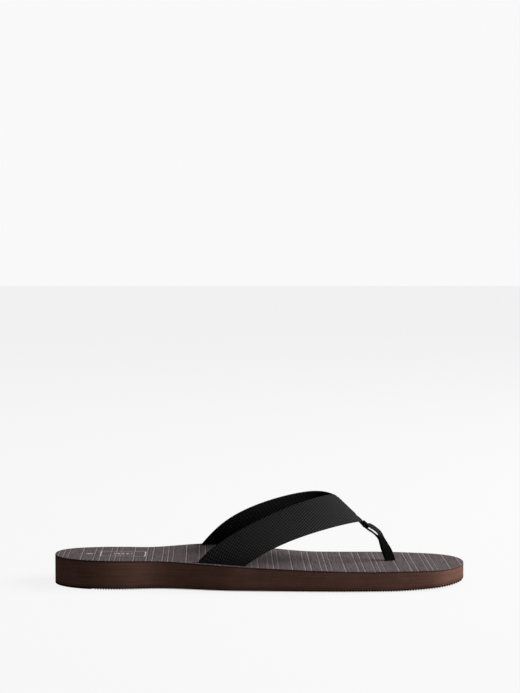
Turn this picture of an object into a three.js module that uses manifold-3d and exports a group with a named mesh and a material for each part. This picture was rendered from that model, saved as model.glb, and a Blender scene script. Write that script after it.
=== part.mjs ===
// Thong sandal (flip flop) for the right foot, in millimetres: +X to the toe, +Y to the big toe side, +Z up.
// Lengths along the sole are measured from the back of the heel until the last step centres the sandal.
import * as THREE from 'three';
import { mergeVertices } from 'three/addons/utils/BufferGeometryUtils.js';
import Module from 'manifold-3d';

// Sole outline.
const SOLE_LENGTH = 290;
const HEEL_HALF_WIDTH = 37;
const WAIST_HALF_WIDTH = 34.5;
const ARCH_OUTLINE_SHARE = 0.427;
const BALL_HALF_WIDTH = 51.5;
const HEEL_STATION = 46 / 290;
const WAIST_STATION = 72 / 290;
const BALL_STATION = 203 / 290;

// Sole thickness and its wedge.
const HEEL_HEIGHT = 20.2;
const FOREFOOT_HEIGHT = 14.1;
const WEDGE_START = 35 / 290;
const WEDGE_END = 228 / 290;
const ARCH_RISE = 4.4;
const ARCH_START = 60 / 290;
const ARCH_PEAK = 116 / 290;
const ARCH_END = 190 / 290;
const ARCH_INNER_Y = 5;
const TOE_SPRING = 3;
const TOE_SPRING_START = 236 / 290;
const OUTSOLE_THICKNESS = 3;
const FOOTBED_THICKNESS = 1.2;
const LAYER_GAP = 0.3;

// Webbing straps.
const WEBBING_WIDTH = 25.4;
const WEBBING_THICKNESS = 1.5;
const LATERAL_SLOT_STATION = 117.8 / 290;
const MEDIAL_SLOT_STATION = 119 / 290;
const SLOT_INSET = 4.8;
const SLOT_CLEARANCE = 0.35;
const SLOT_OVERRUN = 3.5;
const SLOT_REACH_SHARE = 0.62;
const CUT_MARGIN = 4;
const SLOT_RELIEF_STEPS = 5;
const TAIL_LENGTH = 13;
const TAIL_BEND_RADIUS = 2;
const TAIL_BEND_STEPS = 6;
const SEAM_Y = 8;
const SEAM_STATION = 208.5 / 290;
const STRAP_RISE = 37;
const SEAM_SLOPE = new THREE.Vector3(-0.72, 0, 0.69).normalize();
const SEAM_GAP = 0.3;
const STRAP_STEPS = 40;
const STRAP_WIDTH_STEPS = 4;
const LATERAL_STRAP = { side: -1, forward: 1, lean: 0.03, start: 33, finish: 21.4, turn: 0.25 };
const MEDIAL_STRAP = { side: 1, forward: 1.05, lean: 0.85, start: 45, finish: 27, turn: 0.1 };

// Toe tape: one tape folded round a bar under the sole, its two plies holding the joined straps.
const TAPE_WIDTH = 8;
const TAPE_THICKNESS = 1;
const PLY_GAP = 0.3;
const POST_STATION = 238.2 / 290;
const POST_Y = 4.7;
const NECK_LENGTH = 5.4;
const NECK_THICKNESS = 1.3;
const NECK_HALF_WIDTH = 3.7;
const NECK_ROOT = 3;
const NECK_SHARES = [0, 0.05, 0.09, 0.13, 0.16, 0.18];
const PLY_BOW = 0.4;
const PLY_SEAT = 0.5;
const LOWER_PLY_START = 0.065;
const UPPER_PLY_START = 0.1;
const UPPER_ROLL = 0.28;
const POST_TURN = 1.1;
const PLY_SEATING = [0.08, 0.18];
const PLY_BOWING = [0.16, 0.26];
const PLY_CLOSING = [0.37, 0.5];
const FOLD_OPENING = [0.9, 1];
const POST_TURNING = [0.33, 0.69];
const UPPER_ROLLING = [0.18, 0.27];
const UPPER_UNROLLING = [0.4, 0.52];
const TACK_SHARE = 0.145;
const POST_SLOT_SHARES = [0.6, 0.68, 0.76, 0.82, 0.86, 0.9, 0.95, 1];
const POST_SLOT_EASE = 0.4;
const FOLD_RECESS_EASE = 0.6;
const FOLD_RECESS_HEADROOM = 1.6;
const FOLD_RECESS_REACH = 3;
const FOLD_STEPS = 8;
const BAR_RADIUS = 1.2;
const BAR_LENGTH = 14;
const BAR_GAP = 0.3;
const FOLD_CLEARANCE = 0.5;

// Thread.
const THREAD_SIZE = 0.5;
const THREAD_STANDOFF = 0.3;
const SEAM_STITCH_PITCH = 2.6;
const SEAM_STITCH_REACH = 2.4;
const SEAM_STITCH_TOP_MARGIN = 2;
const SEAM_STITCH_LOW_MARGIN = 5.5;
const TACK_MARGIN = 1;
const TACK_STITCH_PITCH = 1.3;
const TACK_STITCH_REACH = 1.3;

const wasm = await Module();
wasm.setup();

const vec = (x, y, z) => new THREE.Vector3(x, y, z);
const along = (station) => SOLE_LENGTH * station;

function ease(value) {
  const u = THREE.MathUtils.clamp(value, 0, 1);
  return u * u * (3 - 2 * u);
}

// --- solids ---

function toManifold(geometry) {
  const bare = geometry.clone();
  bare.deleteAttribute('normal');
  bare.deleteAttribute('uv');
  const merged = mergeVertices(bare, 1e-4);
  const vertProperties = new Float32Array(merged.attributes.position.array);
  const triVerts = new Uint32Array(merged.index.array);
  return new wasm.Manifold(new wasm.Mesh({ numProp: 3, vertProperties, triVerts }));
}

function toGeometry(solid) {
  const mesh = solid.getMesh();
  const geometry = new THREE.BufferGeometry();
  geometry.setAttribute('position', new THREE.BufferAttribute(mesh.vertProperties, 3));
  geometry.setIndex(new THREE.BufferAttribute(mesh.triVerts, 1));
  geometry.computeVertexNormals();
  return geometry;
}

// A box whose unit corners are carried by place(u, v, w), u along, v across and w through, all from 0 to 1.
function mappedBox(uSteps, vSteps, wSteps, place) {
  const geometry = new THREE.BoxGeometry(1, 1, 1, uSteps, vSteps, wSteps);
  const position = geometry.attributes.position;
  for (let i = 0; i < position.count; i += 1) {
    const point = place(position.getX(i) + 0.5, position.getY(i) + 0.5, position.getZ(i) + 0.5);
    position.setXYZ(i, point.x, point.y, point.z);
  }
  geometry.computeVertexNormals();
  return geometry;
}

// --- sole ---

function soleShape() {
  const heel = along(HEEL_STATION);
  const waist = along(WAIST_STATION);
  const ball = along(BALL_STATION);
  const toe = SOLE_LENGTH;
  const arch = waist + (ball - waist) * ARCH_OUTLINE_SHARE;
  const beyond = (share) => ball + (toe - ball) * share;
  const wide = BALL_HALF_WIDTH;
  const narrow = WAIST_HALF_WIDTH;
  const shape = new THREE.Shape();
  shape.moveTo(0, 3);
  shape.bezierCurveTo(0, -HEEL_HALF_WIDTH * 0.6, heel * 0.43, -HEEL_HALF_WIDTH, heel, -HEEL_HALF_WIDTH);
  shape.bezierCurveTo(heel * 1.2, -HEEL_HALF_WIDTH, waist * 0.875, -narrow, waist, -narrow);
  shape.bezierCurveTo(waist * 1.28, -narrow, arch * 0.86, -wide * 0.878, arch, -wide * 0.905);
  shape.bezierCurveTo(arch * 1.17, -wide * 0.938, ball * 0.887, -wide, ball, -wide);
  shape.bezierCurveTo(beyond(0.25), -wide, beyond(0.54), -wide * 0.961, beyond(0.707), -wide * 0.866);
  shape.bezierCurveTo(beyond(0.873), -wide * 0.757, toe, -wide * 0.388, toe, 4);
  shape.bezierCurveTo(toe, wide * 0.505, beyond(0.885), wide * 0.738, beyond(0.707), wide * 0.841);
  shape.bezierCurveTo(beyond(0.586), wide * 0.911, beyond(0.425), wide, beyond(0.264), wide);
  shape.bezierCurveTo(ball * 1.01, wide, ball * 0.813, wide * 0.858, ball * 0.69, wide * 0.788);
  shape.bezierCurveTo(ball * 0.567, wide * 0.72, waist * 1.25, narrow * 1.065, waist * 0.833, narrow * 1.065);
  shape.bezierCurveTo(waist * 0.194, HEEL_HALF_WIDTH * 1.027, 0, HEEL_HALF_WIDTH * 0.784, 0, 3);
  return shape;
}

const OUTLINE_DIVISIONS = 9;
const outlinePoints = soleShape().getPoints(OUTLINE_DIVISIONS);

// Y of the sole's edge at a length along it, on the lateral (-1) or the medial (+1) side.
function edgeY(side, x) {
  const hits = [];
  for (let i = 1; i < outlinePoints.length; i += 1) {
    const a = outlinePoints[i - 1];
    const b = outlinePoints[i];
    if ((a.x - x) * (b.x - x) <= 0 && a.x !== b.x) hits.push(a.y + ((x - a.x) / (b.x - a.x)) * (b.y - a.y));
  }
  return side < 0 ? Math.min(...hits) : Math.max(...hits);
}

function groundZ(x) {
  const start = along(TOE_SPRING_START);
  return TOE_SPRING * Math.max(0, (x - start) / (SOLE_LENGTH - start)) ** 1.4;
}

function topZ(x, y) {
  const wedge = ease((x - along(WEDGE_START)) / along(WEDGE_END - WEDGE_START));
  const rising = ease((x - along(ARCH_START)) / along(ARCH_PEAK - ARCH_START));
  const falling = 1 - ease((x - along(ARCH_PEAK)) / along(ARCH_END - ARCH_PEAK));
  const inward = ease((y - ARCH_INNER_Y) / (HEEL_HALF_WIDTH - ARCH_INNER_Y));
  return HEEL_HEIGHT + (FOREFOOT_HEIGHT - HEEL_HEIGHT) * wedge + ARCH_RISE * rising * falling * inward;
}

function soleLayer(lower, upper, lengthSteps, widthSteps) {
  const margin = CUT_MARGIN;
  const slab = mappedBox(lengthSteps, widthSteps, 1, (u, v, w) => {
    const x = -margin + u * (SOLE_LENGTH + 2 * margin);
    const y = (v - 0.5) * 2 * (BALL_HALF_WIDTH + margin);
    return vec(x, y, w < 0.5 ? lower(x, y) : upper(x, y));
  });
  const height = HEEL_HEIGHT + ARCH_RISE + 2 * margin;
  const prism = new THREE.ExtrudeGeometry(soleShape(), {
    depth: height, bevelEnabled: false, curveSegments: OUTLINE_DIVISIONS,
  });
  prism.translate(0, 0, -margin);
  return toManifold(slab).intersect(toManifold(prism));
}

const outsoleTop = (x) => groundZ(x) + OUTSOLE_THICKNESS;
const midsoleBottom = (x) => outsoleTop(x) + LAYER_GAP;
const midsoleTop = (x, y) => topZ(x, y) - FOOTBED_THICKNESS - LAYER_GAP;
const footbedBottom = (x, y) => topZ(x, y) - FOOTBED_THICKNESS;

// --- flat bands: straps, tape and the slots they pass through ---

// A station is a centre, half the width as a vector, and the unit normal of the band there.
function station(centre, half, normal) {
  return { centre, half, normal };
}

// A closed band of the given thickness through the stations, its width and thickness grown by a clearance.
function band(stations, thickness, widthSteps, clearance = 0) {
  const last = stations.length - 1;
  const travel = stations[1].centre.clone().sub(stations[0].centre);
  const handed = Math.sign(travel.cross(stations[0].half).dot(stations[0].normal));
  return mappedBox(last, widthSteps, 1, (u, v, w) => {
    const here = stations[Math.round(u * last)];
    const reach = (here.half.length() + clearance) / here.half.length();
    return here.centre.clone()
      .addScaledVector(here.half, (2 * v - 1) * reach * handed)
      .addScaledVector(here.normal, (w - 0.5) * (thickness + 2 * clearance));
  });
}

function unitAcross(direction, tangent) {
  return direction.clone().addScaledVector(tangent, -direction.dot(tangent)).normalize();
}

// Half of a slanted cut across a band of the given width that runs along the tangent.
function slantedHalf(direction, tangent, width) {
  const cosine = direction.dot(tangent);
  return direction.clone().multiplyScalar(width / 2 / Math.sqrt(1 - cosine * cosine));
}

function slotLine(side) {
  const x = along(side < 0 ? LATERAL_SLOT_STATION : MEDIAL_SLOT_STATION);
  const reach = WEBBING_WIDTH * SLOT_REACH_SHARE;
  const front = edgeY(side, x + reach);
  const rear = edgeY(side, x - reach);
  const y = (front + rear) / 2 - side * SLOT_INSET;
  const centre = vec(x, y, topZ(x, y));
  const heelward = vec(-2 * reach, rear - front, topZ(x - reach, y) - topZ(x + reach, y)).normalize();
  return { centre, heelward };
}

function seamCentre() {
  return vec(along(SEAM_STATION), SEAM_Y, FOREFOOT_HEIGHT + STRAP_RISE);
}

function strapCurve(strap) {
  const { centre } = slotLine(strap.side);
  const leave = vec(strap.forward, -strap.side * strap.lean, 1).normalize();
  const arrive = vec(strap.turn, -strap.side, strap.turn * SEAM_SLOPE.z / SEAM_SLOPE.x).normalize();
  const seam = seamCentre();
  return new THREE.CubicBezierCurve3(
    centre,
    centre.clone().addScaledVector(leave, strap.start),
    seam.clone().addScaledVector(arrive, -strap.finish),
    seam,
  );
}

// Stations of a strap above the footbed: each cut lies along the slot at first and along the seam at last.
function archStations(strap) {
  const curve = strapCurve(strap);
  const { heelward } = slotLine(strap.side);
  const stations = [];
  for (let i = 0; i <= STRAP_STEPS; i += 1) {
    const t = i / STRAP_STEPS;
    const tangent = curve.getTangent(t);
    const cut = heelward.clone().lerp(SEAM_SLOPE, ease(t)).normalize();
    const normal = cut.clone().cross(tangent).normalize().multiplyScalar(-strap.side);
    stations.push(station(curve.getPoint(t), slantedHalf(cut, tangent, WEBBING_WIDTH), normal));
  }
  stations[STRAP_STEPS].centre.y += strap.side * SEAM_GAP / 2;
  return stations;
}

// Stations of the tail: flat under the midsole, a bend, then straight up through the slot to the footbed.
function tailStations(strap) {
  const { centre, heelward } = slotLine(strap.side);
  const drift = strapCurve(strap).getTangent(0).dot(heelward);
  const climb = Math.sqrt(1 - drift * drift);
  const half = archStations(strap)[0].half;
  const upright = unitAcross(vec(0, 0, 1), heelward);
  const level = vec(0, 0, 1).cross(heelward).normalize().multiplyScalar(strap.side);
  if (level.y * strap.side < 0) level.negate();
  const floor = midsoleBottom(centre.x) + WEBBING_THICKNESS / 2 + Math.abs(half.z);
  const angle = Math.acos(THREE.MathUtils.clamp(level.dot(upright), -1, 1));
  const bendLength = TAIL_BEND_RADIUS * Math.tan(angle / 2);
  const fold = centre.clone().addScaledVector(upright, (floor - centre.z) / upright.z);
  const flat = heelward.clone().multiplyScalar(drift / climb);
  const straightDown = centre.distanceTo(fold);
  const stations = [];
  const add = (point, travel, distance) => {
    const normal = heelward.clone().cross(travel).normalize().multiplyScalar(-strap.side);
    stations.push(station(point.clone().addScaledVector(flat, distance), half.clone(), normal));
  };
  const arcLength = TAIL_BEND_RADIUS * angle;
  const foldTravel = -straightDown + bendLength;
  const arcStart = fold.clone().addScaledVector(level, -bendLength);
  add(arcStart.clone().addScaledVector(level, -TAIL_LENGTH), level, foldTravel - arcLength - TAIL_LENGTH);
  const lift = upright.clone().addScaledVector(level, -upright.dot(level)).normalize();
  for (let i = 0; i <= TAIL_BEND_STEPS; i += 1) {
    const turned = (angle * i) / TAIL_BEND_STEPS;
    const travel = level.clone().multiplyScalar(Math.cos(turned)).addScaledVector(lift, Math.sin(turned));
    const point = arcStart.clone()
      .addScaledVector(level, TAIL_BEND_RADIUS * Math.sin(turned))
      .addScaledVector(lift, TAIL_BEND_RADIUS * (1 - Math.cos(turned)));
    add(point, travel, foldTravel - arcLength * (1 - i / TAIL_BEND_STEPS));
  }
  return stations;
}

// Half of the narrow neck that runs on from the lower end of the seam, between the plies of the tape.
function neckStations(strap) {
  const offset = strap.side * (SEAM_GAP / 2 + NECK_HALF_WIDTH) / 2;
  const half = vec(0, (NECK_HALF_WIDTH - SEAM_GAP / 2) / 2, 0);
  const sideways = vec(0, offset, 0);
  return NECK_SHARES.map((share) => {
    const { centre, normal } = postFrame(share);
    return station(centre.add(sideways), half, normal);
  });
}

function strapGeometry(strap) {
  const stations = [...tailStations(strap), ...archStations(strap)];
  const strip = toManifold(band(stations, WEBBING_THICKNESS, STRAP_WIDTH_STEPS));
  return toGeometry(strip.add(toManifold(band(neckStations(strap), NECK_THICKNESS, 1))));
}

// The slot and the recess under the midsole that a strap's tail lies in. The slot overruns the strap
// heelward, and its mouth is relieved where the strap leans away.
function strapCutter(strap) {
  const tail = tailStations(strap);
  const start = archStations(strap)[0];
  const rise = start.centre.clone().sub(tail[tail.length - 1].centre).normalize();
  const above = start.centre.clone().addScaledVector(rise, WEBBING_THICKNESS);
  const back = tail[0].centre.clone().sub(tail[1].centre).normalize();
  const behind = tail[0].centre.clone().addScaledVector(back, SLOT_CLEARANCE);
  const places = [behind, ...tail.slice(1).map((item) => item.centre), start.centre, above];
  const heelward = start.half.clone().normalize();
  const half = start.half.clone().addScaledVector(heelward, SLOT_OVERRUN / 2);
  const normals = [...tail, start, start].map((item) => item.normal);
  const stations = places.map((place, i) => (
    station(place.clone().addScaledVector(heelward, SLOT_OVERRUN / 2), half, normals[i])
  ));
  const upright = toManifold(band(stations, WEBBING_THICKNESS, 1, SLOT_CLEARANCE));
  const leaning = band(archStations(strap).slice(0, SLOT_RELIEF_STEPS), WEBBING_THICKNESS, 1, SLOT_CLEARANCE);
  return upright.add(toManifold(leaning));
}

// --- toe tape ---

function seamLowEnd() {
  return seamCentre().addScaledVector(SEAM_SLOPE, -WEBBING_WIDTH / 2);
}

// Knots of the line midway between the two plies, from the lower end of the seam to the bar under the sole.
function postKnots() {
  const x = along(POST_STATION);
  const low = seamLowEnd();
  const top = topZ(x, POST_Y);
  const barZ = midsoleBottom(x) + BAR_RADIUS + BAR_GAP + TAPE_THICKNESS + FOLD_CLEARANCE;
  const at = (forward, down, y) => vec(low.x + forward * (x - low.x), y, low.z - down * (low.z - top));
  return [
    low.clone().addScaledVector(SEAM_SLOPE, NECK_ROOT),
    low,
    low.clone().add(vec(NECK_LENGTH * 0.35, 0, -NECK_LENGTH * 0.39)),
    low.clone().add(vec(NECK_LENGTH * 0.8, 0, -NECK_LENGTH * 0.78)),
    at(0.41, 0.24, SEAM_Y + 1),
    at(0.57, 0.34, SEAM_Y + 1),
    at(0.68, 0.46, SEAM_Y + 0.6),
    vec(x, POST_Y, top),
    vec(x + 0.2, POST_Y - 0.1, barZ),
  ];
}

const postCurve = () => new THREE.CatmullRomCurve3(postKnots(), false, 'centripetal');
const POST_STEPS = 36;

// How far a share has passed through a range, eased, from 0 to 1.
const passed = (share, [from, to]) => ease((share - from) / (to - from));

// Distance of a ply from the middle line: held by the straps, open at the slit, closed, then round the bar.
function plySpread(share, sign) {
  const holding = WEBBING_THICKNESS / 2 + PLY_GAP + TAPE_THICKNESS / 2;
  const closed = (PLY_GAP + TAPE_THICKNESS) / 2;
  const round = BAR_RADIUS + BAR_GAP + TAPE_THICKNESS / 2;
  const seated = sign < 0 ? PLY_SEAT * (1 - passed(share, PLY_SEATING)) : 0;
  const bowed = holding + seated + PLY_BOW * passed(share, PLY_BOWING);
  const closing = passed(share, PLY_CLOSING);
  const opening = passed(share, FOLD_OPENING);
  return (bowed * (1 - closing) + closed * closing) * (1 - opening) + round * opening;
}

function postFrame(share) {
  const curve = postCurve();
  const tangent = curve.getTangentAt(share);
  const turn = POST_TURN * passed(share, POST_TURNING);
  const facing = vec(Math.sin(turn), Math.cos(turn), 0);
  const across = unitAcross(facing, tangent);
  const normal = tangent.clone().cross(across);
  return { centre: curve.getPointAt(share), tangent, across, normal };
}

// The ply on one side of the middle line. The upper one rolls at the slit, its outer edge dropping.
function tapeStations(sign, shares) {
  return shares.map((share) => {
    const { centre, across, normal, tangent } = postFrame(share);
    const rolled = passed(share, UPPER_ROLLING) * (1 - passed(share, UPPER_UNROLLING));
    const roll = sign > 0 ? UPPER_ROLL * rolled : 0;
    const outward = normal.clone().multiplyScalar(sign);
    const half = across.clone().applyAxisAngle(tangent, roll).multiplyScalar(TAPE_WIDTH / 2);
    const face = outward.clone().applyAxisAngle(tangent, roll);
    return station(centre.addScaledVector(outward, plySpread(share, sign)), half, face);
  });
}

function tapeBend() {
  const { centre, tangent, across, normal } = postFrame(1);
  const radius = BAR_RADIUS + BAR_GAP + TAPE_THICKNESS / 2;
  const stations = [];
  for (let i = 1; i < FOLD_STEPS; i += 1) {
    const angle = (Math.PI * i) / FOLD_STEPS;
    const outward = normal.clone().multiplyScalar(Math.cos(angle)).addScaledVector(tangent, Math.sin(angle));
    const half = across.clone().multiplyScalar(TAPE_WIDTH / 2);
    stations.push(station(centre.clone().addScaledVector(outward, radius), half, outward));
  }
  return stations;
}

function tapeGeometry() {
  const sharesFrom = (start) => (
    Array.from({ length: POST_STEPS + 1 }, (_, i) => start + ((1 - start) * i) / POST_STEPS)
  );
  const upper = tapeStations(1, sharesFrom(UPPER_PLY_START));
  const lower = tapeStations(-1, sharesFrom(LOWER_PLY_START).toReversed());
  const stations = [...upper, ...tapeBend(), ...lower];
  return band(stations, TAPE_THICKNESS, 2);
}

function barGeometry() {
  const { centre, across } = postFrame(1);
  const geometry = new THREE.CylinderGeometry(BAR_RADIUS, BAR_RADIUS, BAR_LENGTH, 20);
  geometry.applyQuaternion(new THREE.Quaternion().setFromUnitVectors(vec(0, 1, 0), across));
  geometry.translate(centre.x, centre.y, centre.z);
  return geometry;
}

// The slot for both plies, and the recess in the underside of the midsole for the fold and the bar.
function postCutter() {
  const low = postFrame(1);
  const stations = POST_SLOT_SHARES.map((share) => {
    const { centre, across, normal } = postFrame(share);
    return station(centre, across.clone().multiplyScalar(TAPE_WIDTH / 2), normal);
  });
  const slot = toManifold(band(stations, 2 * TAPE_THICKNESS + PLY_GAP + POST_SLOT_EASE, 1, SLOT_CLEARANCE));
  const foldRadius = BAR_RADIUS + BAR_GAP + TAPE_THICKNESS + BAR_GAP;
  const depth = 2 * foldRadius;
  const width = 2 * foldRadius + FOLD_RECESS_EASE;
  const recess = new THREE.BoxGeometry(width, BAR_LENGTH + 2 * BAR_GAP, depth + 2 * FOLD_RECESS_REACH);
  const level = low.across.clone().setZ(0).normalize();
  recess.applyQuaternion(new THREE.Quaternion().setFromUnitVectors(vec(0, 1, 0), level));
  const roof = low.centre.z + foldRadius + FOLD_RECESS_HEADROOM;
  recess.translate(low.centre.x, low.centre.y, roof - depth / 2 - FOLD_RECESS_REACH);
  return slot.add(toManifold(recess));
}

// --- thread ---

// A square thread running zigzag over a surface, as one closed band.
function zigzag(points, normalAt) {
  const stations = points.map((point, i) => {
    const before = points[Math.max(i - 1, 0)];
    const after = points[Math.min(i + 1, points.length - 1)];
    const travel = after.clone().sub(before).normalize();
    const normal = normalAt(i);
    const across = normal.clone().cross(travel).normalize();
    return station(point, across.multiplyScalar(THREAD_SIZE / 2), normal);
  });
  return band(stations, THREAD_SIZE, 1);
}

// Stitches across the seam between the two straps, on the outer face (+1) or the inner face (-1).
function seamStitch(face) {
  const normal = vec(-SEAM_SLOPE.z, 0, SEAM_SLOPE.x).multiplyScalar(-face);
  const lift = WEBBING_THICKNESS / 2 + THREAD_STANDOFF + THREAD_SIZE / 2;
  const room = WEBBING_WIDTH - SEAM_STITCH_TOP_MARGIN - SEAM_STITCH_LOW_MARGIN;
  const count = Math.floor(room / (SEAM_STITCH_PITCH / 2));
  const points = [];
  for (let i = 0; i <= count; i += 1) {
    const distance = WEBBING_WIDTH / 2 - SEAM_STITCH_TOP_MARGIN - (i * SEAM_STITCH_PITCH) / 2;
    const side = i % 2 === 0 ? 1 : -1;
    const point = seamCentre().addScaledVector(SEAM_SLOPE, distance).addScaledVector(normal, lift);
    points.push(point.add(vec(0, side * SEAM_STITCH_REACH / 2, 0)));
  }
  return zigzag(points, () => normal);
}

// A short bar tack through a ply where it holds the straps.
function plyTack(sign) {
  const share = TACK_SHARE;
  const { centre, tangent, across, normal } = postFrame(share);
  const outward = normal.clone().multiplyScalar(sign);
  const lift = plySpread(share, sign) + TAPE_THICKNESS / 2 + THREAD_STANDOFF + THREAD_SIZE / 2;
  const count = Math.floor((TAPE_WIDTH - 2 * TACK_MARGIN) / (TACK_STITCH_PITCH / 2));
  const points = [];
  for (let i = 0; i <= count; i += 1) {
    const side = i % 2 === 0 ? 1 : -1;
    const offset = (i - count / 2) * (TACK_STITCH_PITCH / 2);
    points.push(centre.clone()
      .addScaledVector(outward, lift)
      .addScaledVector(across, offset)
      .addScaledVector(tangent, side * TACK_STITCH_REACH / 2));
  }
  return zigzag(points, () => outward);
}

// --- assembly ---

const materials = {
  rubber: { color: 0x3a2722, roughness: 0.85, metalness: 0 },
  foam: { color: 0x3d2a25, roughness: 0.9, metalness: 0 },
  footbed: { color: 0x605757, roughness: 0.8, metalness: 0 },
  webbing: { color: 0x1c1c1c, roughness: 0.95, metalness: 0 },
  thread: { color: 0x141414, roughness: 0.8, metalness: 0 },
  plastic: { color: 0x202020, roughness: 0.5, metalness: 0 },
};

function piece(name, geometry, material) {
  const mesh = new THREE.Mesh(geometry, new THREE.MeshStandardMaterial(materials[material]));
  mesh.name = name;
  return mesh;
}

function buildSandal() {
  const lateralCut = strapCutter(LATERAL_STRAP);
  const medialCut = strapCutter(MEDIAL_STRAP);
  const postCut = postCutter();
  const throughTop = (solid) => toGeometry(solid.subtract(lateralCut).subtract(medialCut).subtract(postCut));
  const outsole = soleLayer(groundZ, outsoleTop, 40, 2);
  const midsole = soleLayer(midsoleBottom, midsoleTop, 48, 16);
  const footbed = soleLayer(footbedBottom, topZ, 48, 16);
  const sandal = new THREE.Group();
  sandal.add(piece('outsole', toGeometry(outsole), 'rubber'));
  sandal.add(piece('midsole', throughTop(midsole), 'foam'));
  sandal.add(piece('footbed', throughTop(footbed), 'footbed'));
  sandal.add(piece('lateral_strap', strapGeometry(LATERAL_STRAP), 'webbing'));
  sandal.add(piece('medial_strap', strapGeometry(MEDIAL_STRAP), 'webbing'));
  sandal.add(piece('toe_tape', tapeGeometry(), 'webbing'));
  sandal.add(piece('toe_anchor_bar', barGeometry(), 'plastic'));
  sandal.add(piece('seam_top_thread', seamStitch(1), 'thread'));
  sandal.add(piece('seam_under_thread', seamStitch(-1), 'thread'));
  sandal.add(piece('tape_tack_top', plyTack(1), 'thread'));
  sandal.add(piece('tape_tack_under', plyTack(-1), 'thread'));
  sandal.position.set(-SOLE_LENGTH / 2, 0, 0);
  return sandal;
}

export default buildSandal();
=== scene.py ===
import math

import bmesh
import bpy
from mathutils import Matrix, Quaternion, Vector


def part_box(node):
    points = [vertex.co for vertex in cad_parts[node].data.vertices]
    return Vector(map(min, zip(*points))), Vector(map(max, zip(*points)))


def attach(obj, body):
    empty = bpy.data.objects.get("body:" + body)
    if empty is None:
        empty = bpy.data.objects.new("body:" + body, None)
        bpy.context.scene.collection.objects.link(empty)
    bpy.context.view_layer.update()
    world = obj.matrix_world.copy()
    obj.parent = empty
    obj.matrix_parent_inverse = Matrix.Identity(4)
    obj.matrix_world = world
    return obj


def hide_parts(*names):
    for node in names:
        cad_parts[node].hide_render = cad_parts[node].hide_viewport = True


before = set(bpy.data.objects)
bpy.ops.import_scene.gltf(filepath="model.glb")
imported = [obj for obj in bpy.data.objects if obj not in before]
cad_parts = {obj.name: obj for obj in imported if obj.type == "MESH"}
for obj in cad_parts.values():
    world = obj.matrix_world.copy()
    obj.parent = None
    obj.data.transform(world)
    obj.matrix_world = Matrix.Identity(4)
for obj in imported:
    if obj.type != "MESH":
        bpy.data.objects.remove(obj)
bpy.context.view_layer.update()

# Sizes are metres in the row frame: +X to the toe, +Y to the big toe side, +Z up.
MM = 0.001
SOLE_LOW, SOLE_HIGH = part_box("footbed")
HEEL_X = SOLE_LOW[0]
LENGTH = SOLE_HIGH[0] - SOLE_LOW[0]
BALL_HALF = (SOLE_HIGH[1] - SOLE_LOW[1]) / 2
HEEL_HALF = 37 * MM
WAIST_HALF = 34.5 * MM
OUTLINE_HEEL_Y = 3 * MM
OUTLINE_TOE_Y = 4 * MM
OUTLINE_STEPS = 22
HEEL_HEIGHT = 20.2 * MM
FOREFOOT_HEIGHT = 14.1 * MM
ARCH_RISE = 4.4 * MM
ARCH_INNER_Y = 5 * MM
TOE_SPRING = 3 * MM
TOE_SPRING_POWER = 1.4

# Stations along the sole, as shares of its length from the heel.
HEEL_STATION = 46 / 290
WAIST_STATION = 72 / 290
BALL_STATION = 203 / 290
WEDGE_START = 35 / 290
WEDGE_END = 228 / 290
ARCH_START = 60 / 290
ARCH_PEAK = 116 / 290
ARCH_END = 190 / 290
TOE_SPRING_START = 236 / 290

# Where the outline bends inwards at the arch, as a share of the way from the waist to the ball.
ARCH_OUTLINE_SHARE = 0.427

# Layers of the sole, and the ribs under it.
OUTSOLE_THICKNESS = 3 * MM
FOOTBED_THICKNESS = 1.2 * MM
LAYER_GAP = 0.04 * MM
RIB_HEIGHT = 0.55 * MM
RIB_PITCH = 1.9 * MM
RIB_WIDTH = 1.15 * MM
RIB_TAPER = 0.72
RIB_ROOT = 1.4
RIB_INSET = 0.15 * MM
LAST_RIB_TO_TOE = 3 * MM
OUTLINE_END = 0.3 * MM
SMOOTH_HEEL = 30 * MM
RIBBED_FROM = 2 * MM
RIBBED_WITHIN = 1.0 * MM

# Webbing straps, their slots and the seam.
WEB_WIDTH = 25.4 * MM
WEB_THICKNESS = 1.5 * MM
LATERAL_SLOT_X = HEEL_X + 117.8 * MM
MEDIAL_SLOT_X = HEEL_X + 119 * MM
SLOT_INSET = 4.8 * MM
SLOT_CLEARANCE = 0.35 * MM
SLOT_OVERRUN = 3.5 * MM
SLOT_REACH_SHARE = 0.62
SEAM_HALF_GAP = 0.1 * MM
SEAM = Vector((HEEL_X + 208.5 * MM, 8 * MM, 51.1 * MM))
SEAM_SLOPE = Vector((-0.72, 0, 0.69)).normalized()
LATERAL = dict(side=-1, forward=1.0, lean=0.03, start=33 * MM, finish=21.4 * MM, turn=0.25)
MEDIAL = dict(side=1, forward=1.05, lean=0.85, start=45 * MM, finish=27 * MM, turn=0.1)

# Toe tape.
TAPE_WIDTH = 8 * MM
TAPE_THICKNESS = 1 * MM
POST_X = HEEL_X + 238.2 * MM
POST_Y = 4.7 * MM
UP = Vector((0, 0, 1))


def ease(value):
    u = min(max(value, 0.0), 1.0)
    return u * u * (3 - 2 * u)


def mix(a, b, share):
    return a + (b - a) * share


def passed(value, span):
    """How far a value has gone through a span, eased, from 0 to 1."""
    return ease((value - span[0]) / (span[1] - span[0]))


# --- camera, light and floor ---

CAMERA_PLACE = (-0.03075, -1.69408, 0.25434)
CAMERA_PITCH = 87.054
CAMERA_YAW = -1.049
CAMERA_LENS = 124.68
SENSOR_WIDTH = 36


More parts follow.
